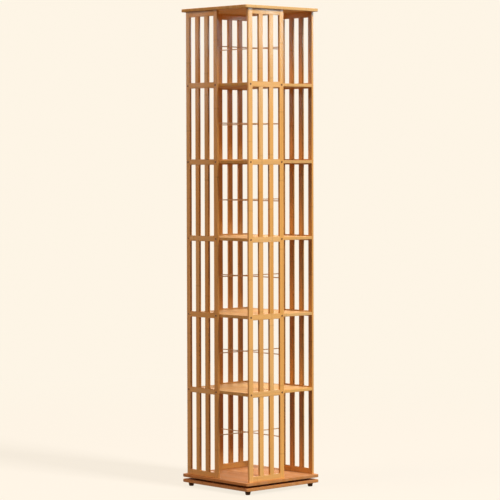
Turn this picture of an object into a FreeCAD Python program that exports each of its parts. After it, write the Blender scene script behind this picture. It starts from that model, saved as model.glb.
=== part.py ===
import FreeCAD, Part
import os

# Revolving bookcase tower of bamboo sticks and boards, in millimetres.
# The origin lies on the floor under the turning axis, +Z is up, and the four sides face -Y, +X, +Y and -X.
# Each side has a slatted panel over its left half, seen from outside, and is open over its right half.

# From the floor to the upper face of the top board
OVERALL_HEIGHT = 1912.0

# Square boards: the fixed base board, the turning bottom board and the top board
BOARD_SIDE = 390.0
BOARD_THICKNESS = 12.0
BOARD_CORNER_RADIUS = 9.0
BOARD_OVERHANG = 10.0

# Sticks that the panels are made of: stiles, rails and slats have the same section
STICK_WIDTH = 22.0
STICK_THICKNESS = 10.0
SLATS_BETWEEN_STILES = 2
PANEL_REACH_PAST_MIDDLE = 12.0

# Tiers, from the bottom board up to the top board: the middle ones share the height that is left
SHELF_COUNT = 5
SHELF_THICKNESS = 12.0
BOTTOM_TIER_CLEAR = 337.0
TOP_TIER_CLEAR = 288.0

# Tenons: the rails end in blind mortises in the stiles, and the slats meet inside the rails, end to end
RAIL_TENON_LENGTH = 7.0
TENON_WIDTH = 14.0
TENON_THICKNESS = 5.0
TENON_CLEARANCE = 0.1
TENON_END_CLEARANCE = 0.5

# Thin rods that cross in the middle of each tier and stop what is pushed in from opposite sides
ROD_DIAMETER = 4.0
ROD_CROSSING_CLEARANCE = 0.1
ROD_BORE_DEPTH = 6.0
ROD_BORE_CLEARANCE = 0.1
ROD_END_CLEARANCE = 0.25

# Turntable bearing in the gap between the base board and the bottom board
BEARING_GAP = 9.0
RING_LIFT = 1.0
RING_OUTER_DIAMETER = 300.0
FIXED_RING_WIDTH = 15.0
TURNING_RING_WIDTH = 25.0
RING_CLEARANCE = 0.45

# Round feet under the base board
FOOT_HEIGHT = 16.0
FOOT_DIAMETER = 24.0
FOOT_INSET = 26.0

# How far a cutting body passes the face that it opens
CUT_OVERRUN = 1.0

# Plan of the tower and of one panel, worked out from the sizes above
SHELF_SIDE = BOARD_SIDE - 2 * (BOARD_OVERHANG + STICK_THICKNESS)
PANEL_INNER = SHELF_SIDE / 2
PANEL_OUTER = PANEL_INNER + STICK_THICKNESS
PANEL_MIDDLE = (PANEL_INNER + PANEL_OUTER) / 2
PANEL_LEFT = -SHELF_SIDE / 2
PANEL_RIGHT = PANEL_REACH_PAST_MIDDLE
STICK_PITCH = (PANEL_RIGHT - PANEL_LEFT - STICK_WIDTH) / (SLATS_BETWEEN_STILES + 1)
RAIL_LEFT = PANEL_LEFT + STICK_WIDTH
RAIL_RIGHT = PANEL_RIGHT - STICK_WIDTH
RAIL_MORTISE_DEPTH = RAIL_TENON_LENGTH + TENON_END_CLEARANCE
SLAT_TENON_LENGTH = (STICK_WIDTH - TENON_END_CLEARANCE) / 2

# Heights, from the floor up
BASE_BOTTOM = FOOT_HEIGHT
BASE_TOP = BASE_BOTTOM + BOARD_THICKNESS
TOWER_BOTTOM = BASE_TOP + BEARING_GAP
TOWER_FLOOR = TOWER_BOTTOM + BOARD_THICKNESS
TOWER_CEILING = OVERALL_HEIGHT - BOARD_THICKNESS
FIRST_SHELF = TOWER_FLOOR + BOTTOM_TIER_CLEAR
LAST_SHELF = TOWER_CEILING - TOP_TIER_CLEAR - SHELF_THICKNESS
SHELF_PITCH = (LAST_SHELF - FIRST_SHELF) / (SHELF_COUNT - 1)
SHELF_BOTTOMS = [FIRST_SHELF + SHELF_PITCH * i for i in range(SHELF_COUNT)]

# Each tier reaches from the board under it to the board over it
TIER_FLOORS = [TOWER_FLOOR] + [bottom + SHELF_THICKNESS for bottom in SHELF_BOTTOMS]
TIER_CEILINGS = SHELF_BOTTOMS + [TOWER_CEILING]
TIER_MIDDLES = [(floor + ceiling) / 2 for floor, ceiling in zip(TIER_FLOORS, TIER_CEILINGS)]

# A rail stands on the bottom board, one hangs under the top board, and the rest lie level with the shelves
SHELF_RAILS = [bottom + SHELF_THICKNESS / 2 for bottom in SHELF_BOTTOMS]
RAIL_MIDDLES = [TOWER_FLOOR + STICK_WIDTH / 2] + SHELF_RAILS + [TOWER_CEILING - STICK_WIDTH / 2]

# The rod between the front and back panels passes under the one between the right and left panels
ROD_RISE = (ROD_DIAMETER + ROD_CROSSING_CLEARANCE) / 2
SIDES = {
    "front": {"turn": 0, "rod_rise": -ROD_RISE},
    "right": {"turn": 90, "rod_rise": ROD_RISE},
    "back": {"turn": 180, "rod_rise": -ROD_RISE},
    "left": {"turn": 270, "rod_rise": ROD_RISE},
}
CENTRE = FreeCAD.Vector(0, 0, 0)
UP = FreeCAD.Vector(0, 0, 1)
ALONG_X = FreeCAD.Vector(1, 0, 0)
ALONG_Y = FreeCAD.Vector(0, 1, 0)

os.makedirs("parts", exist_ok=True)


def save(node, *solids):
    shape = solids[0] if len(solids) == 1 else Part.makeCompound(solids)
    shape.exportStep("parts/" + node + ".step")


def block(x, y, z):
    """A block between two limits along each axis."""
    corner = FreeCAD.Vector(x[0], y[0], z[0])
    return Part.makeBox(x[1] - x[0], y[1] - y[0], z[1] - z[0], corner)


def about(middle, width):
    return (middle - width / 2, middle + width / 2)


def turned(solid, side):
    """Carries a piece of the front panel round to another side of the tower."""
    copy = solid.copy()
    copy.rotate(CENTRE, UP, SIDES[side]["turn"])
    return copy


# Boards and shelves

def square_board(bottom):
    limits = about(0, BOARD_SIDE)
    board = block(limits, limits, (bottom, bottom + BOARD_THICKNESS))
    upright = [edge for edge in board.Edges if edge.BoundBox.ZLength > BOARD_THICKNESS / 2]
    return board.makeFillet(BOARD_CORNER_RADIUS, upright)


save("base_board", square_board(BASE_BOTTOM))
save("bottom_board", square_board(TOWER_BOTTOM))
save("top_board", square_board(TOWER_CEILING))

for number, bottom in enumerate(SHELF_BOTTOMS, start=1):
    limits = about(0, SHELF_SIDE)
    save("shelf_%d" % number, block(limits, limits, (bottom, bottom + SHELF_THICKNESS)))


# Tenons, and the mortises that are cut for them with a clearance all round

def rail_tenon(x, middle, clearance):
    y = about(-PANEL_MIDDLE, TENON_THICKNESS + 2 * clearance)
    z = about(middle, TENON_WIDTH + 2 * clearance)
    return block(x, y, z)


def slat_tenon(middle, z, clearance):
    x = about(middle, TENON_WIDTH + 2 * clearance)
    y = about(-PANEL_MIDDLE, TENON_THICKNESS + 2 * clearance)
    return block(x, y, z)


# Slatted panels, modelled on the front side and carried round to the others

STICK_Y = (-PANEL_OUTER, -PANEL_INNER)
SLAT_MIDDLES = [PANEL_LEFT + STICK_WIDTH / 2 + STICK_PITCH * (i + 1) for i in range(SLATS_BETWEEN_STILES)]


def stile(x, mortise_x):
    """An upright over the full height, with a mortise for the end of each rail."""
    upright = block(x, STICK_Y, (TOWER_FLOOR, TOWER_CEILING))
    return upright.cut([rail_tenon(mortise_x, middle, TENON_CLEARANCE) for middle in RAIL_MIDDLES])


def corner_stile():
    edge = RAIL_LEFT
    return stile((PANEL_LEFT, edge), (edge - RAIL_MORTISE_DEPTH, edge + CUT_OVERRUN))


def middle_stile(rod_rise):
    """The stile near the middle of the side, which also holds the end of a rod in each tier."""
    edge = RAIL_RIGHT
    upright = stile((edge, PANEL_RIGHT), (edge - CUT_OVERRUN, edge + RAIL_MORTISE_DEPTH))
    radius = ROD_DIAMETER / 2 + ROD_BORE_CLEARANCE
    length = ROD_BORE_DEPTH + CUT_OVERRUN
    start = -PANEL_INNER - ROD_BORE_DEPTH
    places = [FreeCAD.Vector(0, start, middle + rod_rise) for middle in TIER_MIDDLES]
    return upright.cut([Part.makeCylinder(radius, length, place, ALONG_Y) for place in places])


def rail(middle):
    """A cross piece with a tenon at each end and a mortise right through it for each slat."""
    low, high = about(middle, STICK_WIDTH)
    body = block((RAIL_LEFT, RAIL_RIGHT), STICK_Y, (low, high))
    tenons = rail_tenon((RAIL_LEFT - RAIL_TENON_LENGTH, RAIL_RIGHT + RAIL_TENON_LENGTH), middle, 0)
    through = (low - CUT_OVERRUN, high + CUT_OVERRUN)
    mortises = [slat_tenon(x, through, TENON_CLEARANCE) for x in SLAT_MIDDLES]
    return body.fuse(tenons).removeSplitter().cut(mortises)


def slat(x, tier):
    """An upright between two rails, with a tenon at each end."""
    low = RAIL_MIDDLES[tier] + STICK_WIDTH / 2
    high = RAIL_MIDDLES[tier + 1] - STICK_WIDTH / 2
    body = block(about(x, STICK_WIDTH), STICK_Y, (low, high))
    tenons = slat_tenon(x, (low - SLAT_TENON_LENGTH, high + SLAT_TENON_LENGTH), 0)
    return body.fuse(tenons).removeSplitter()


RAILS = [rail(middle) for middle in RAIL_MIDDLES]
SLATS = [slat(x, tier) for tier in range(len(TIER_MIDDLES)) for x in SLAT_MIDDLES]

for side, place in SIDES.items():
    save(side + "_corner_stile", turned(corner_stile(), side))
    save(side + "_middle_stile", turned(middle_stile(place["rod_rise"]), side))
    for number, solid in enumerate(RAILS, start=1):
        save("%s_rail_%d" % (side, number), turned(solid, side))
    save(side + "_slats", *[turned(solid, side) for solid in SLATS])


# Stop rods, one pair to a tier, each seated in the middle stiles of two opposite panels

ROD_REACH = PANEL_INNER + ROD_BORE_DEPTH - ROD_END_CLEARANCE


def stop_rod(direction, height):
    start = direction * -ROD_REACH + UP * height
    return Part.makeCylinder(ROD_DIAMETER / 2, 2 * ROD_REACH, start, direction)


for number, middle in enumerate(TIER_MIDDLES, start=1):
    lower = stop_rod(ALONG_Y, middle + SIDES["front"]["rod_rise"])
    upper = stop_rod(ALONG_X, middle + SIDES["right"]["rod_rise"])
    save("stop_rods_%d" % number, lower, upper)


# Turntable bearing: the turning ring's V-shaped rib runs in the V-shaped groove of the fixed ring

RING_TRACK = (BASE_TOP + TOWER_BOTTOM) / 2


def flank(tip, height):
    """A point on the 45 degree flanks that meet at the tip radius, level with the track."""
    return FreeCAD.Vector(tip - abs(height - RING_TRACK), 0, height)


def bearing_ring(wall, tip, bottom, top):
    """A ring between its plain wall and the flanks, which reach out to the tip radius."""
    corners = [
        FreeCAD.Vector(wall, 0, bottom),
        flank(tip, bottom),
        flank(tip, RING_TRACK),
        flank(tip, top),
        FreeCAD.Vector(wall, 0, top),
    ]
    outline = Part.makePolygon(corners + corners[:1])
    return Part.Face(outline).revolve(CENTRE, UP, 360)


FIXED_WALL = RING_OUTER_DIAMETER / 2
GROOVE_TIP = FIXED_WALL - FIXED_RING_WIDTH
RIB_TIP = GROOVE_TIP - RING_CLEARANCE
TURNING_WALL = RIB_TIP - TURNING_RING_WIDTH
save("bearing_fixed_ring", bearing_ring(FIXED_WALL, GROOVE_TIP, BASE_TOP, TOWER_BOTTOM - RING_LIFT))
save("bearing_turning_ring", bearing_ring(TURNING_WALL, RIB_TIP, BASE_TOP + RING_LIFT, TOWER_BOTTOM))


# Feet, one near each corner of the base board

FOOT_REACH = BOARD_SIDE / 2 - FOOT_INSET
CORNERS = ((-1, -1), (1, -1), (1, 1), (-1, 1))
FOOT_PLACES = [FreeCAD.Vector(x * FOOT_REACH, y * FOOT_REACH, 0) for x, y in CORNERS]
save("feet", *[Part.makeCylinder(FOOT_DIAMETER / 2, FOOT_HEIGHT, place, UP) for place in FOOT_PLACES])
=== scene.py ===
import bpy
import math
import random
from mathutils import Matrix, Vector


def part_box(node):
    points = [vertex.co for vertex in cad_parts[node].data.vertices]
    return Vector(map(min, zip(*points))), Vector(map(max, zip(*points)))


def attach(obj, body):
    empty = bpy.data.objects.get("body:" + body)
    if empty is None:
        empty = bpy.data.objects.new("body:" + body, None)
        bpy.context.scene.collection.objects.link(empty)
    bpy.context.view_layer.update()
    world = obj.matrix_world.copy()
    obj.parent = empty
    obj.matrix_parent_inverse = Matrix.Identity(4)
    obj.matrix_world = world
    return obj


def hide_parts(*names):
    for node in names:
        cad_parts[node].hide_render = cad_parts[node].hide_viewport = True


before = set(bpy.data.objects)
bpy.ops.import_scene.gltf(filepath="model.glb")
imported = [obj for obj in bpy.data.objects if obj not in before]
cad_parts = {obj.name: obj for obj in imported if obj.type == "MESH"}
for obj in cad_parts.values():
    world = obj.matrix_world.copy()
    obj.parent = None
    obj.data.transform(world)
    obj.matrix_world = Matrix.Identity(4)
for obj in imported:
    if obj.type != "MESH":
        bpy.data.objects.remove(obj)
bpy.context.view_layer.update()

# Base board, bottom board and top board: square panels of bamboo strips glued side by side, with rounded
# corners and eased edges under a satin lacquer, the lower two coloured darker and redder than the top board.
# The base board lies on the feet, the bottom board turns on the bearing under it, and the top board closes the
# tower over the stiles.

BOARD_CORNER = 0.009
CORNER_STEPS = 8
BOARD_EASE = 0.0016
EASE_STEPS = 3
SAME_LEVEL = 1e-6

BOARD_STRIP = 0.0195
BOARD_ROUGHNESS = 0.62
BOARD_SHEEN = 0.1
# The base and bottom board colours are set darker and redder than the top board's.
BASE_PALE, BASE_DEEP = (0.65, 0.30, 0.108), (0.51, 0.215, 0.068)
BOARD_PALE, BOARD_DEEP = (0.82, 0.49, 0.175), (0.66, 0.36, 0.11)

FIBRE_STRETCH = (14.0, 1500.0, 1500.0)
STREAK_STRETCH = (3.5, 170.0, 170.0)
FLECK_STRETCH = (60.0, 1900.0, 1900.0)
STRIP_JUMP = 9.0
PORE_EDGE = (0.6, 0.72)
KNUCKLE_SPACING = 0.27
KNUCKLE_JUMP = 5.0
KNUCKLE_WANDER = 0.02
KNUCKLE_WIDTH = 0.02
SEAM_EDGE = (0.485, 0.497)

STRIP_SHARE, PIECE_SHARE = 0.45, 0.55
STRAW_GREEN, STRAW_BLUE = (0.93, 1.06), (0.78, 1.25)
FIBRE_TONE, STREAK_TONE, LEAST_TONE = 0.42, 0.38, 0.62
DARK_FALL = (0.5, 0.42, 0.36)
PORE_TONE, KNUCKLE_TONE, SEAM_TONE, END_GRAIN_TONE = 0.3, 0.22, 0.4, 0.15
FIBRE_SPAN = (0.2, 0.8)
ROUGHNESS_SWING = 0.05
FIBRE_HEIGHT, KNUCKLE_HEIGHT = 0.5, 0.4

GRAIN_SHIFT = 20.0
END_FACING = 0.7
chance = random.Random(7)


def put(tree, kind, settings, inputs):
    """Adds a shader node: its settings by name, its inputs as values or as outputs of other nodes."""
    made = tree.nodes.new(kind)
    for key, value in settings.items():
        setattr(made, key, value)
    for key, value in inputs.items():
        if isinstance(value, bpy.types.NodeSocket):
            tree.links.new(value, made.inputs[key])
        else:
            made.inputs[key].default_value = value
    return made


def maths(tree, operation, first, second=0.0):
    return put(tree, "ShaderNodeMath", {"operation": operation}, {0: first, 1: second}).outputs[0]


def scaled(tree, value, factor):
    return maths(tree, "MULTIPLY", value, factor)


def off_middle(tree, value):
    """How far a repeating value lies from the middle of its turn."""
    return maths(tree, "ABSOLUTE", maths(tree, "SUBTRACT", maths(tree, "FRACT", value), 0.5))


def mapped(tree, value, start, end, low, high):
    """Eases a value from one range over to another."""
    limits = {"From Min": start, "From Max": end, "To Min": low, "To Max": high}
    made = put(tree, "ShaderNodeMapRange", {"interpolation_type": "SMOOTHSTEP"}, {"Value": value, **limits})
    return made.outputs[0]


def blended(tree, kind, factor, first, second):
    """Mixes two colours: they go to the node's seventh and eighth inputs and come out at its third output."""
    settings = {"data_type": "RGBA", "blend_type": kind}
    return put(tree, "ShaderNodeMix", settings, {0: factor, 6: first, 7: second}).outputs[2]


def stretched(tree, place, stretch):
    return put(tree, "ShaderNodeVectorMath", {"operation": "MULTIPLY"}, {0: place, 1: stretch}).outputs[0]


def noise(tree, place, scale, detail):
    inputs = {"Vector": place, "Scale": scale, "Detail": detail}
    return put(tree, "ShaderNodeTexNoise", {}, inputs).outputs["Fac"]


def attribute(tree, name):
    return put(tree, "ShaderNodeAttribute", {"attribute_name": name}, {}).outputs


def bumped(tree, shader, height, strength, distance):
    inputs = {"Strength": strength, "Distance": distance, "Height": height}
    tree.links.new(put(tree, "ShaderNodeBump", {}, inputs).outputs[0], shader.inputs["Normal"])


def new_finish(name):
    """A material with its node tree and its shader."""
    material = bpy.data.materials.new(name)
    material.use_nodes = True
    return material, material.node_tree, material.node_tree.nodes["Principled BSDF"]


def bamboo(name, pale, deep, strip, rough, gloss):
    """Lacquered bamboo: strips that differ in tone, fibres along them, and a darker band at each knuckle."""
    material, tree, shader = new_finish(name)
    grain = attribute(tree, "grain")["Vector"]
    tone = attribute(tree, "tone")["Fac"]
    along, across, _ = put(tree, "ShaderNodeSeparateXYZ", {}, {0: grain}).outputs
    place = maths(tree, "DIVIDE", across, strip)
    number = maths(tree, "FLOOR", place)
    lot = put(tree, "ShaderNodeCombineXYZ", {}, {0: number, 1: tone}).outputs[0]
    luck, cast = put(tree, "ShaderNodeTexWhiteNoise", {"noise_dimensions": "3D"}, {"Vector": lot}).outputs
    straw = put(tree, "ShaderNodeSeparateColor", {}, {0: cast}).outputs[1]

    jump = put(tree, "ShaderNodeCombineXYZ", {}, {0: scaled(tree, luck, STRIP_JUMP)}).outputs[0]
    moved = put(tree, "ShaderNodeVectorMath", {"operation": "ADD"}, {0: grain, 1: jump}).outputs[0]
    fibre = noise(tree, stretched(tree, moved, FIBRE_STRETCH), scale=1.0, detail=3.0)
    streak = noise(tree, stretched(tree, moved, STREAK_STRETCH), scale=1.0, detail=2.0)
    fleck = noise(tree, stretched(tree, moved, FLECK_STRETCH), scale=1.0, detail=1.0)
    pores = mapped(tree, fleck, *PORE_EDGE, 0.0, 1.0)

    length = maths(tree, "DIVIDE", along, KNUCKLE_SPACING)
    turn = maths(tree, "ADD", length, scaled(tree, luck, KNUCKLE_JUMP))
    wave = maths(tree, "ADD", turn, scaled(tree, streak, KNUCKLE_WANDER))
    knuckle = mapped(tree, off_middle(tree, wave), 0.0, KNUCKLE_WIDTH, 1.0, 0.0)
    seam = mapped(tree, off_middle(tree, place), *SEAM_EDGE, 0.0, 1.0)
    cut = attribute(tree, "end_grain")["Fac"]

    share = maths(tree, "ADD", scaled(tree, luck, STRIP_SHARE), scaled(tree, tone, PIECE_SHARE))
    colour = blended(tree, "MIX", share, (*pale, 1.0), (*deep, 1.0))
    green = mapped(tree, straw, 0.0, 1.0, *STRAW_GREEN)
    blue = mapped(tree, straw, 0.0, 1.0, *STRAW_BLUE)
    hue = put(tree, "ShaderNodeCombineColor", {}, {0: 1.0, 1: green, 2: blue}).outputs[0]
    colour = blended(tree, "MULTIPLY", 1.0, colour, hue)
    lift = maths(tree, "ADD", scaled(tree, fibre, FIBRE_TONE), scaled(tree, streak, STREAK_TONE))
    level = maths(tree, "ADD", lift, LEAST_TONE)
    grey = put(tree, "ShaderNodeCombineColor", {}, {0: level, 1: level, 2: level}).outputs[0]
    colour = blended(tree, "MULTIPLY", 1.0, colour, grey)
    dark = (*[part * fall for part, fall in zip(deep, DARK_FALL)], 1.0)
    traits = ((pores, PORE_TONE), (knuckle, KNUCKLE_TONE), (seam, SEAM_TONE), (cut, END_GRAIN_TONE))
    for trait, strength in traits:
        colour = blended(tree, "MIX", scaled(tree, trait, strength), colour, dark)
    tree.links.new(colour, shader.inputs["Base Color"])

    lacquer = mapped(tree, fibre, *FIBRE_SPAN, rough - ROUGHNESS_SWING, rough + ROUGHNESS_SWING)
    tree.links.new(lacquer, shader.inputs["Roughness"])
    height = maths(tree, "ADD", scaled(tree, fibre, FIBRE_HEIGHT), scaled(tree, knuckle, KNUCKLE_HEIGHT))
    bumped(tree, shader, height, strength=0.35, distance=0.0002)
    shader.inputs["Specular IOR Level"].default_value = gloss
    return material


def alone(piece):
    """Selects one piece and nothing else."""
    bpy.ops.object.select_all(action="DESELECT")
    piece.select_set(True)
    bpy.context.view_layer.objects.active = piece


def named(piece, name):
    piece.name = name
    piece.data.name = name
    return piece


def settled():
    """Puts the place and turn of the piece just made into its mesh."""
    bpy.ops.object.transform_apply(location=True, rotation=True, scale=True)
    return bpy.context.object


def blank(name, low, high):
    """A square-edged block between two corners of the frame."""
    bpy.ops.object.select_all(action="DESELECT")
    bpy.ops.mesh.primitive_cube_add(size=1, location=(low + high) / 2)
    bpy.context.object.scale = high - low
    return named(settled(), name)


def ease(piece, radius, steps, wanted):
    """Rounds the edges of a piece whose two ends pass the test."""
    alone(piece)
    bpy.ops.object.mode_set(mode="EDIT")
    bpy.ops.mesh.select_mode(type="EDGE")
    bpy.ops.mesh.select_all(action="DESELECT")
    bpy.ops.object.mode_set(mode="OBJECT")
    places = [vertex.co.copy() for vertex in piece.data.vertices]
    for edge in piece.data.edges:
        edge.select = wanted(*[places[index] for index in edge.vertices])
    bpy.ops.object.mode_set(mode="EDIT")
    bpy.ops.mesh.bevel(offset=radius, segments=steps, affect="EDGES")
    bpy.ops.object.mode_set(mode="OBJECT")


def smooth(piece):
    """Smooth shading that keeps the broad faces flat."""
    alone(piece)
    bpy.ops.object.shade_smooth()
    bpy.ops.object.modifier_add(type="WEIGHTED_NORMAL")
    bpy.ops.object.modifier_apply(modifier=piece.modifiers[-1].name)


def grained(piece, order, material, deepest=1.0):
    """Gives a piece its wood: the order names the axes along fibres, across strips and into the depth."""
    offset = [chance.uniform(-GRAIN_SHIFT, GRAIN_SHIFT) for _ in order]
    wood = []
    for vertex in piece.data.vertices:
        wood += [vertex.co[axis] + offset[index] for index, axis in enumerate(order)]
    piece.data.attributes.new("grain", "FLOAT_VECTOR", "POINT").data.foreach_set("vector", wood)
    tones = [chance.random() * deepest] * len(piece.data.vertices)
    piece.data.attributes.new("tone", "FLOAT", "POINT").data.foreach_set("value", tones)
    ends = [float(abs(face.normal[order[0]]) > END_FACING) for face in piece.data.polygons]
    piece.data.attributes.new("end_grain", "FLOAT", "FACE").data.foreach_set("value", ends)
    piece.data.materials.clear()
    piece.data.materials.append(material)


base_wood = bamboo("bamboo_base", BASE_PALE, BASE_DEEP, BOARD_STRIP, BOARD_ROUGHNESS, BOARD_SHEEN)
board_wood = bamboo("bamboo_board", BOARD_PALE, BOARD_DEEP, BOARD_STRIP, BOARD_ROUGHNESS, BOARD_SHEEN)
ALONG_X, ALONG_Y = (0, 1, 2), (1, 0, 2)
BOARDS = {
    "base_board": ("base", ALONG_Y, base_wood),
    "bottom_board": ("tower", ALONG_Y, base_wood),
    "top_board": ("tower", ALONG_X, board_wood),
}

for node, (body, order, wood) in BOARDS.items():
    low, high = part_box(node)
    board = blank(node + "_wood", low, high)
    ease(board, BOARD_CORNER, CORNER_STEPS, lambda a, b: abs(a.z - b.z) > BOARD_EASE)
    ease(board, BOARD_EASE, EASE_STEPS, lambda a, b: abs(a.z - b.z) < SAME_LEVEL)
    smooth(board)
    grained(board, order, wood)
    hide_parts(node)
    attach(board, body)

# Shelves: five square boards of the same glued bamboo strips as the top board, with square corners and eased
# edges. Each lies inside the four panels and is held by screws that come in through the stiles.

SHELF_COUNT = 5
SHELF_EASE = 0.0012

for number in range(1, SHELF_COUNT + 1):
    node = "shelf_%d" % number
    low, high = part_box(node)
    shelf = blank(node + "_wood", low, high)
    ease(shelf, SHELF_EASE, EASE_STEPS, lambda a, b: True)
    smooth(shelf)
    grained(shelf, ALONG_X, board_wood)
    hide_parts(node)
    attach(shelf, "tower")

# Stiles: solid bamboo sticks over the full height of the tower, two to a panel, with their long edges eased.
# They stand on the bottom board and carry the top board, and the rails are tenoned into them.

STICK_EASE = 0.0014
STICK_STRIP = 0.04
STICK_PALE, STICK_DEEP = (0.86, 0.495, 0.168), (0.69, 0.338, 0.086)
STICK_ROUGHNESS = 0.27
STICK_SHEEN = 0.2
UPRIGHT = (2, 0, 1)
X_AXIS, Z_AXIS = 0, 2
SIDES = {"front": 0, "right": 90, "back": 180, "left": 270}
NO_SHIFT = Vector((0, 0, 0))
stick_wood = bamboo("bamboo_stick", STICK_PALE, STICK_DEEP, STICK_STRIP, STICK_ROUGHNESS, STICK_SHEEN)


def stick(name, low, high, length):
    """A stick of the front panel, with the edges eased that run along its length."""
    piece = blank(name, low, high)
    ease(piece, STICK_EASE, EASE_STEPS, lambda a, b: abs(a[length] - b[length]) > STICK_EASE)
    smooth(piece)
    return piece


def turned(angle):
    return Matrix.Rotation(math.radians(angle), 4, "Z")


def carried(pattern, name, shift, angle):
    """A copy of a front piece with a mesh of its own, moved along the panel and carried round to its side."""
    piece = pattern.copy()
    piece.data = pattern.data.copy()
    bpy.context.scene.collection.objects.link(piece)
    piece.data.transform(turned(angle) @ Matrix.Translation(shift))
    return named(piece, name)


low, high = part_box("front_corner_stile")
stick_width = high.x - low.x
pattern = stick("stile_pattern", low, high, Z_AXIS)
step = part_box("front_middle_stile")[0] - low
for side, angle in SIDES.items():
    for node, shift in ((side + "_corner_stile", NO_SHIFT), (side + "_middle_stile", step)):
        stile = carried(pattern, node + "_wood", shift, angle)
        grained(stile, UPRIGHT, stick_wood)
        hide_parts(node)
        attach(stile, "tower")
bpy.data.objects.remove(pattern)

# Rails: short bamboo sticks of the same section between the two stiles of each panel, one at the foot, one at
# the head and one level with each shelf, all of the paler wood. Their tenons are hidden in the stiles.

RAIL_COUNT = SHELF_COUNT + 2
RAIL_DEEPEST = 0.35
RAIL_LIES = {"front": (0, 2, 1), "right": (1, 2, 0), "back": (0, 2, 1), "left": (1, 2, 0)}

low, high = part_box("front_rail_1")
low.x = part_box("front_corner_stile")[1].x
high.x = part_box("front_middle_stile")[0].x
pattern = stick("rail_pattern", low, high, X_AXIS)
for side, angle in SIDES.items():
    for number in range(1, RAIL_COUNT + 1):
        shift = Vector((0, 0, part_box("front_rail_%d" % number)[0].z - low.z))
        node = "%s_rail_%d" % (side, number)
        rail = carried(pattern, node + "_wood", shift, angle)
        grained(rail, RAIL_LIES[side], stick_wood, RAIL_DEEPEST)
        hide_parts(node)
        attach(rail, "tower")
bpy.data.objects.remove(pattern)

# Slats: upright bamboo sticks between two rails, two to a panel in each tier, again of the same section. Their
# tenons are hidden in the rails above and below.

TIER_COUNT = SHELF_COUNT + 1


def joined(pieces, name):
    """Makes several pieces one."""
    alone(pieces[0])
    for piece in pieces:
        piece.select_set(True)
    bpy.ops.object.join()
    return named(bpy.context.object, name)


first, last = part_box("front_slats")
for side, angle in SIDES.items():
    pieces = []
    for tier in range(1, TIER_COUNT + 1):
        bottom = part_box("front_rail_%d" % tier)[1].z
        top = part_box("front_rail_%d" % (tier + 1))[0].z
        for left in (first.x, last.x - stick_width):
            low, high = Vector((left, first.y, bottom)), Vector((left + stick_width, last.y, top))
            pattern = stick("slat_pattern", low, high, Z_AXIS)
            slat = carried(pattern, "slat", NO_SHIFT, angle)
            grained(slat, UPRIGHT, stick_wood)
            pieces.append(slat)
            bpy.data.objects.remove(pattern)
    slats = joined(pieces, side + "_slats_wood")
    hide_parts(side + "_slats")
    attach(slats, "tower")

# Stop rods: thin round dowels of bare bamboo, two to a tier, that cross one over the other at the middle of the
# tower and keep what stands on opposite sides apart. Their ends are set in bores in the middle stiles.

ROD_RADIUS = 0.002
ROUND_FACETS = 32
SMOOTH_ANGLE = math.radians(40)
QUARTER_TURN = math.radians(90)
ROD_PALE, ROD_DEEP = (0.80, 0.56, 0.30), (0.72, 0.46, 0.22)
ROD_ROUGHNESS = 0.5
ROD_SHEEN = 0.3
rod_wood = bamboo("bamboo_rod", ROD_PALE, ROD_DEEP, STICK_STRIP, ROD_ROUGHNESS, ROD_SHEEN)


def turned_blank(radius, length, middle, spin):
    """A round bar about its middle."""
    bpy.ops.object.select_all(action="DESELECT")
    bpy.ops.mesh.primitive_cylinder_add(
        vertices=ROUND_FACETS, radius=radius, depth=length, location=middle, rotation=spin
    )
    return settled()


rod_length = -2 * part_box("front_middle_stile")[1].y
for number in range(1, TIER_COUNT + 1):
    node = "stop_rods_%d" % number
    low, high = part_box(node)
    pieces = []
    for order, height, spin in (
        (ALONG_Y, low.z + ROD_RADIUS, (QUARTER_TURN, 0, 0)),
        (ALONG_X, high.z - ROD_RADIUS, (0, QUARTER_TURN, 0)),
    ):
        rod = turned_blank(ROD_RADIUS, rod_length, (0, 0, height), spin)
        bpy.ops.object.shade_smooth_by_angle(angle=SMOOTH_ANGLE)
        grained(rod, order, rod_wood)
        pieces.append(rod)
    rods = joined(pieces, node + "_wood")
    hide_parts(node)
    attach(rods, "tower")

# Shelf screws: dark bronzed steel screws with low domed heads and a cross recess, two through each panel into
# the edge of each shelf, one in each stile. Only their heads show, on the faces of the stiles.

HEAD_RADIUS = 0.004
HEAD_HEIGHT = 0.0014
HEAD_DOME = 0.0009
DOME_STEPS = 4
RECESS_REACH = 0.0021
RECESS_WIDTH = 0.0009
RECESS_DEPTH = 0.001
EDGE_MARGIN = 1e-4

BRONZE_DARK, BRONZE_PALE = (0.13, 0.062, 0.028, 1.0), (0.25, 0.125, 0.058, 1.0)
BRONZE_ROUGHNESS = (0.32, 0.5)
BRONZE_METAL = 0.85
NOISE_SPAN = (0.3, 0.7)

bronze, tree, shader = new_finish("bronzed_steel")
spot = put(tree, "ShaderNodeTexCoord", {}, {}).outputs["Object"]
blotch = noise(tree, spot, scale=900.0, detail=3.0)
tree.links.new(blended(tree, "MIX", blotch, BRONZE_DARK, BRONZE_PALE), shader.inputs["Base Color"])
tree.links.new(mapped(tree, blotch, *NOISE_SPAN, *BRONZE_ROUGHNESS), shader.inputs["Roughness"])
shader.inputs["Metallic"].default_value = BRONZE_METAL


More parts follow.
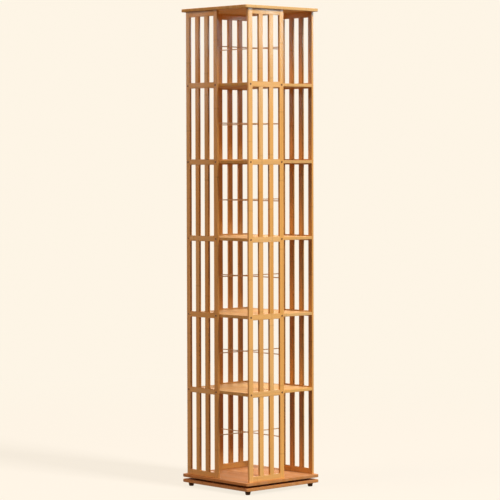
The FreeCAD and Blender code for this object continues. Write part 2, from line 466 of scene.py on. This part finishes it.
def cross_head(name, place):
    """A screw head that lies on a face looking to the front, with its cross recess cut."""
    middle = place + Vector((0, -HEAD_HEIGHT / 2, 0))
    head = named(turned_blank(HEAD_RADIUS, HEAD_HEIGHT, middle, (QUARTER_TURN, 0, 0)), name)
    rim = place.y - HEAD_HEIGHT + EDGE_MARGIN
    ease(head, HEAD_DOME, DOME_STEPS, lambda a, b: a.y < rim and b.y < rim)
    smooth(head)
    for across, up in ((RECESS_REACH, RECESS_WIDTH / 2), (RECESS_WIDTH / 2, RECESS_REACH)):
        low = place + Vector((-across, -2 * HEAD_HEIGHT, -up))
        high = place + Vector((across, RECESS_DEPTH - HEAD_HEIGHT, up))
        cutter = blank("recess", low, high)
        alone(head)
        bpy.ops.object.modifier_add(type="BOOLEAN")
        head.modifiers[-1].object = cutter
        bpy.ops.object.modifier_apply(modifier=head.modifiers[-1].name)
        bpy.data.objects.remove(cutter)
    return head


def middle_height(node):
    low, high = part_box(node)
    return (low.z + high.z) / 2


low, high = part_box("front_corner_stile")
screw_place = Vector(((low.x + high.x) / 2, low.y, middle_height("shelf_1")))
screw_pattern = cross_head("screw_pattern", screw_place)
for side, angle in SIDES.items():
    pieces = []
    for number in range(1, SHELF_COUNT + 1):
        lift = middle_height("shelf_%d" % number) - middle_height("shelf_1")
        for stile in ("front_corner_stile", "front_middle_stile"):
            shift = Vector((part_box(stile)[0].x - low.x, 0, lift))
            pieces.append(carried(screw_pattern, "screw", shift, angle))
    screws = joined(pieces, side + "_shelf_screws")
    screws.data.materials.append(bronze)
    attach(screws, "tower")

# Bearing rings: two turned aluminium rings that run in one another, with a closed-in row of balls between.
# The fixed ring is screwed down on the base board and the turning ring up under the bottom board.

GROOVE_RATE = 2600.0
ALLOY_DARK, ALLOY_PALE = (0.55, 0.55, 0.56, 1.0), (0.72, 0.72, 0.73, 1.0)
ALLOY_ROUGHNESS = (0.28, 0.42)

alloy, tree, shader = new_finish("turned_aluminium")
spot = put(tree, "ShaderNodeTexCoord", {}, {}).outputs["Object"]
flat = stretched(tree, spot, (1.0, 1.0, 0.0))
reach = put(tree, "ShaderNodeVectorMath", {"operation": "LENGTH"}, {0: flat}).outputs["Value"]
height = put(tree, "ShaderNodeSeparateXYZ", {}, {0: spot}).outputs[2]
rates = {0: scaled(tree, reach, GROOVE_RATE), 1: scaled(tree, height, GROOVE_RATE)}
groove = put(tree, "ShaderNodeCombineXYZ", {}, rates).outputs[0]
lines = noise(tree, groove, scale=1.0, detail=2.0)
tree.links.new(blended(tree, "MIX", lines, ALLOY_DARK, ALLOY_PALE), shader.inputs["Base Color"])
tree.links.new(mapped(tree, lines, *NOISE_SPAN, *ALLOY_ROUGHNESS), shader.inputs["Roughness"])
shader.inputs["Metallic"].default_value = 1.0
for node in ("bearing_fixed_ring", "bearing_turning_ring"):
    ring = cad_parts[node]
    ring.data.materials.clear()
    ring.data.materials.append(alloy)

# Feet: four dark brown rubber feet, round and tapered to the floor, with a rounded lower rim and a well in the
# middle. A screw in the well holds each foot up against the base board.

FOOT_RADIUS = 0.012
FOOT_SOLE = 0.0089
FOOT_FACETS = 48
FOOT_RIM = 0.0015
RIM_STEPS = 4
WELL_RADIUS = 0.0055
WELL_DEPTH = 0.006
DOWNWARD = -0.9

RUBBER_DARK, RUBBER_DUSTY = (0.068, 0.026, 0.008, 1.0), (0.12, 0.052, 0.02, 1.0)
RUBBER_ROUGHNESS = (0.6, 0.8)
RUBBER_SHEEN = 0.25

rubber, tree, shader = new_finish("brown_rubber")
spot = put(tree, "ShaderNodeTexCoord", {}, {}).outputs["Object"]
dust = noise(tree, spot, scale=260.0, detail=4.0)
skin = noise(tree, spot, scale=2600.0, detail=2.0)
tree.links.new(blended(tree, "MIX", dust, RUBBER_DARK, RUBBER_DUSTY), shader.inputs["Base Color"])
tree.links.new(mapped(tree, dust, *NOISE_SPAN, *RUBBER_ROUGHNESS), shader.inputs["Roughness"])
shader.inputs["Specular IOR Level"].default_value = RUBBER_SHEEN
bumped(tree, shader, skin, strength=0.4, distance=0.0001)

low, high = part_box("feet")
inset = high.x - FOOT_RADIUS
foot_height = high.z - low.z
middle = (-inset, -inset, low.z + foot_height / 2)
bpy.ops.object.select_all(action="DESELECT")
bpy.ops.mesh.primitive_cone_add(
    vertices=FOOT_FACETS, radius1=FOOT_SOLE, radius2=FOOT_RADIUS, depth=foot_height, location=middle
)
pattern = settled()
bpy.ops.object.mode_set(mode="EDIT")
bpy.ops.mesh.select_mode(type="FACE")
bpy.ops.mesh.select_all(action="DESELECT")
bpy.ops.object.mode_set(mode="OBJECT")
for face in pattern.data.polygons:
    face.select = face.normal.z < DOWNWARD
bpy.ops.object.mode_set(mode="EDIT")
bpy.ops.mesh.inset(thickness=FOOT_SOLE - WELL_RADIUS)
bpy.ops.mesh.extrude_region_move(TRANSFORM_OT_translate={"value": (0, 0, WELL_DEPTH)})
bpy.ops.object.mode_set(mode="OBJECT")
core = Vector((-inset, -inset, 0))


def on_outer_rim(a, b):
    on_sole = max(a.z, b.z) < low.z + SAME_LEVEL
    return on_sole and min((a - core).length, (b - core).length) > WELL_RADIUS + EDGE_MARGIN


ease(pattern, FOOT_RIM, RIM_STEPS, on_outer_rim)
alone(pattern)
bpy.ops.object.shade_smooth_by_angle(angle=SMOOTH_ANGLE)
feet = joined([carried(pattern, "foot", NO_SHIFT, angle) for angle in SIDES.values()], "rubber_feet")
bpy.data.objects.remove(pattern)
feet.data.materials.append(rubber)
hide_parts("feet")
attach(feet, "base")

in_well = Matrix.Translation(Vector((-inset, -inset, low.z + WELL_DEPTH)))
facing_down = in_well @ Matrix.Rotation(QUARTER_TURN, 4, "X") @ Matrix.Translation(-screw_place)
pieces = []
for angle in SIDES.values():
    screw = carried(screw_pattern, "foot_screw", NO_SHIFT, 0)
    screw.data.transform(turned(angle) @ facing_down)
    pieces.append(screw)
bpy.data.objects.remove(screw_pattern)
screws = joined(pieces, "foot_screws")
screws.data.materials.append(bronze)
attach(screws, "base")

# Floor, light and camera: a plain pale floor and background, a soft key lamp high in front, a warm fill high
# at the left, a warm lamp at the right rear, and two weak cool lamps for the sheen of the upper tiers. The
# tower is seen nearly corner-on, from about two thirds of its height.

CREAM = (0.99, 0.913, 0.79, 1.0)
DIM = (0.03, 0.027, 0.023, 1.0)
FLOOR_SIZE = 120
FLOOR_BOUNCE = (0.09, 0.078, 0.068, 1.0)
FLOOR_MATT = (0.119, 0.1135, 0.109, 1.0)
FLOOR_HAZE = 0.87
SHADOW_REACH = 1.2
FLOOR_FADE = 4.5
TOWER_MIDDLE = (0, 0, 1.0)
UPPER_TIERS = (0, 0, 1.75)
TOP_PANEL = (-0.1, -0.195, 1.93)
KEY_COLOUR = (1.0, 0.97, 0.95)
FILL_COLOUR = (1.0, 0.70, 0.52)
SKY_COLOUR = (0.62, 0.85, 1.0)
REAR_COLOUR = (1.0, 0.75, 0.58)
SHEEN_COLOUR = (0.65, 0.9, 1.0)
CAMERA_PLACE = (-5.982, -6.567, 1.3156)
CAMERA_HEADING = 47.667
CAMERA_DROP = 2.357
CAMERA_ROLL = 0.138


def seen(tree):
    """One for what the camera, gloss or a clear surface shows, none for light that falls on the object."""
    rays = put(tree, "ShaderNodeLightPath", {}, {}).outputs
    shown = maths(tree, "MAXIMUM", rays["Is Camera Ray"], rays["Is Glossy Ray"])
    return maths(tree, "MAXIMUM", shown, rays["Is Transmission Ray"])


def either(tree, factor, first, second):
    return put(tree, "ShaderNodeMixShader", {}, {0: factor, 1: first, 2: second}).outputs[0]


def softbox(name, place, aim, size, power, colour, spread=180.0):
    """A broad soft lamp, turned to a point and kept out of the picture itself."""
    light = bpy.data.lights.new(name, "AREA")
    light.shape = "RECTANGLE"
    light.size, light.size_y = size
    light.energy = power
    light.color = colour
    light.spread = math.radians(spread)
    lamp = bpy.data.objects.new(name, light)
    bpy.context.scene.collection.objects.link(lamp)
    lamp.location = place
    lamp.rotation_euler = (Vector(place) - Vector(aim)).to_track_quat("Z", "Y").to_euler()
    lamp.visible_camera = False
    return lamp


bpy.ops.object.select_all(action="DESELECT")
bpy.ops.mesh.primitive_plane_add(size=FLOOR_SIZE)
floor = bpy.context.object
floor.name = "floor"
paint, tree, shader = new_finish("floor_paint")
tree.nodes.remove(shader)
bounce = put(tree, "ShaderNodeBsdfDiffuse", {}, {"Color": FLOOR_BOUNCE}).outputs[0]
matt = put(tree, "ShaderNodeBsdfDiffuse", {}, {"Color": FLOOR_MATT}).outputs[0]
haze = put(tree, "ShaderNodeEmission", {}, {"Color": CREAM, "Strength": FLOOR_HAZE}).outputs[0]
near = put(tree, "ShaderNodeAddShader", {}, {0: matt, 1: haze}).outputs[0]
glow = put(tree, "ShaderNodeEmission", {}, {"Color": CREAM}).outputs[0]
spot = put(tree, "ShaderNodeTexCoord", {}, {}).outputs["Object"]
reach = put(tree, "ShaderNodeVectorMath", {"operation": "LENGTH"}, {0: spot}).outputs["Value"]
pale = either(tree, mapped(tree, reach, SHADOW_REACH, FLOOR_FADE, 0.0, 1.0), near, glow)
surface = either(tree, seen(tree), bounce, pale)
tree.links.new(surface, tree.nodes["Material Output"].inputs["Surface"])
floor.data.materials.append(paint)

world = bpy.data.worlds.new("studio")
world.use_nodes = True
tree = world.node_tree
dome = tree.nodes["Background"]
dome.inputs["Color"].default_value = DIM
pale = put(tree, "ShaderNodeBackground", {}, {"Color": CREAM}).outputs[0]
surface = either(tree, seen(tree), dome.outputs[0], pale)
tree.links.new(surface, tree.nodes["World Output"].inputs["Surface"])
bpy.context.scene.world = world

softbox("key", (1.5, -14.6, 14.2), TOWER_MIDDLE, size=(3.4, 5.6), power=4760.0, colour=KEY_COLOUR)
softbox("fill", (-13.0, 3.5, 10.0), TOWER_MIDDLE, size=(9.0, 9.0), power=1190.0, colour=FILL_COLOUR)
softbox("skylight", (-3.4, 3.95, 2.1), UPPER_TIERS, size=(0.8, 0.5), power=11.0, colour=SKY_COLOUR)
softbox("rear", (12.0, 11.0, 9.0), TOWER_MIDDLE, size=(7.0, 7.0), power=1250.0, colour=REAR_COLOUR)
top_sheen = softbox(
    "sheen", (2.65, -2.97, 2.15), TOP_PANEL, size=(0.8, 0.45), power=0.32, colour=SHEEN_COLOUR, spread=12.0
)
top_sheen.visible_diffuse = False

camera = bpy.data.cameras.new("camera")
camera.sensor_width = 36.0
camera.lens = 159.8
camera.clip_end = 200.0
eye = bpy.data.objects.new("camera", camera)
eye.location = CAMERA_PLACE
eye.rotation_euler = [math.radians(turn) for turn in (90 - CAMERA_DROP, CAMERA_ROLL, CAMERA_HEADING - 90)]
bpy.context.scene.collection.objects.link(eye)
bpy.context.scene.camera = eye
bpy.context.scene.view_settings.view_transform = "Standard"
